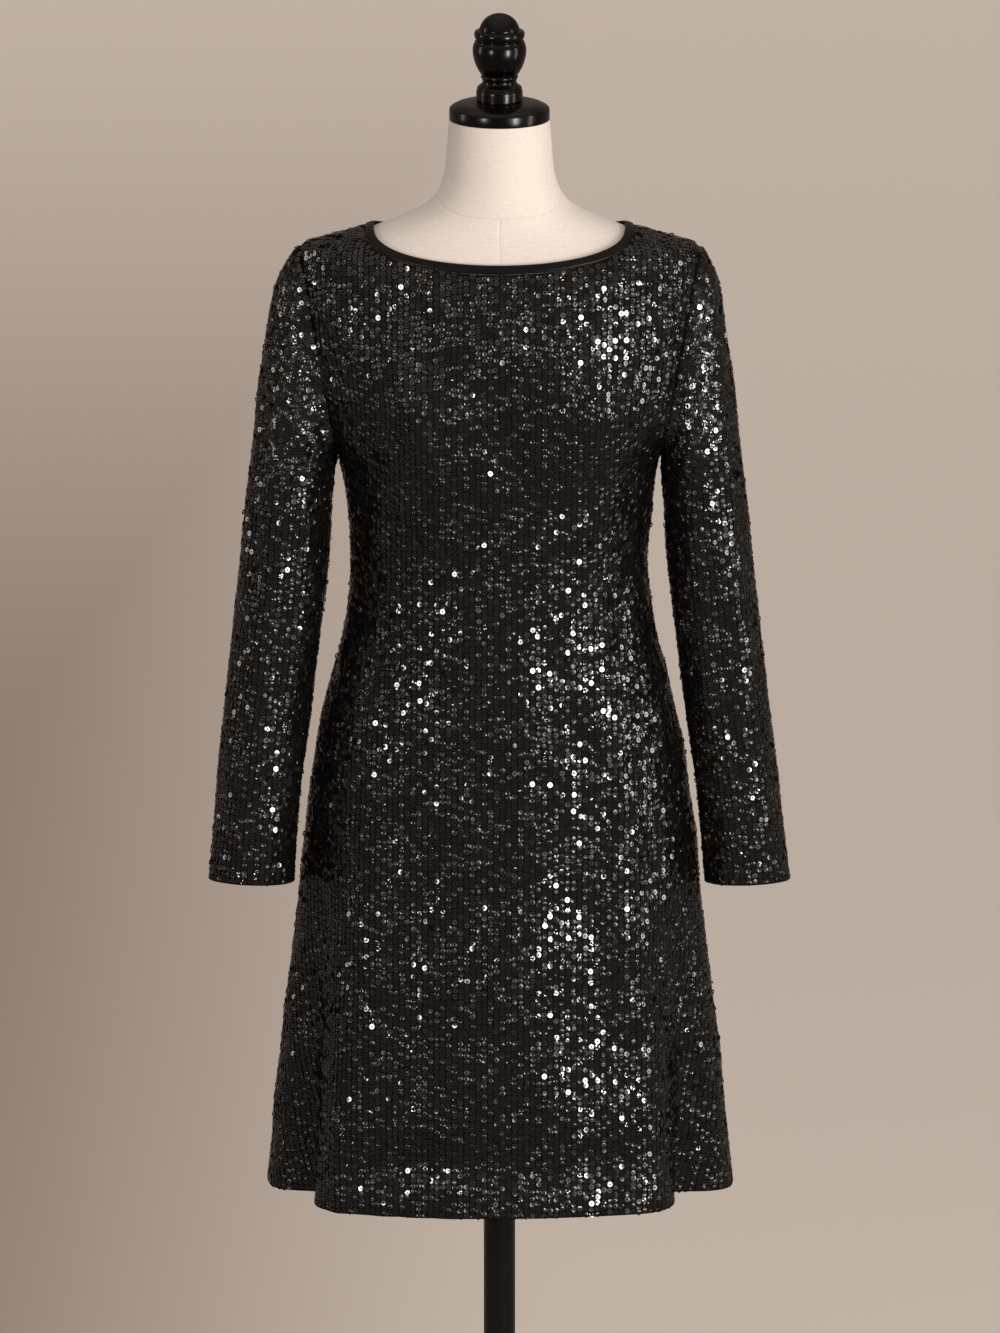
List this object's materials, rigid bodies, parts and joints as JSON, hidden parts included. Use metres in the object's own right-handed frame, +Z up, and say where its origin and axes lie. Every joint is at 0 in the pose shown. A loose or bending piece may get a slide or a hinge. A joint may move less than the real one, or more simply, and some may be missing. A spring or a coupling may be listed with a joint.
{
  "type": "cocktail dress on a dress form",
  "caption": "Long-sleeved A-line cocktail dress with a wide bound neck, covered in black sequins, on a limbless dress form with a pole stand.",
  "frame": {"origin": "on the floor, under the middle of the stand's round base", "axes": "+Z up along the pole, -Y is the front of the dress, +X is the wearer's left"},
  "size_m": [0.5536, 0.36, 1.6075],
  "materials": {
    "sequined_mesh": "black mesh covered in columns of 5 mm glossy black cup sequins",
    "satin_binding": "smooth black satin bias binding with a soft sheen",
    "linen_cover": "matte cream linen, closely woven and drawn tight",
    "turned_wood": "turned wood in high-gloss black lacquer",
    "enamelled_steel": "glossy black enamel"
  },
  "bodies": {
    "root": {"front_panel": "sequined_mesh", "back_panel": "sequined_mesh", "left_sleeve": "sequined_mesh", "right_sleeve": "sequined_mesh", "neck_binding": "satin_binding", "form_torso": "linen_cover", "neck_cap": "turned_wood", "finial": "turned_wood", "stand_pole": "enamelled_steel", "stand_base": "enamelled_steel"}
  },
  "joints": []
}
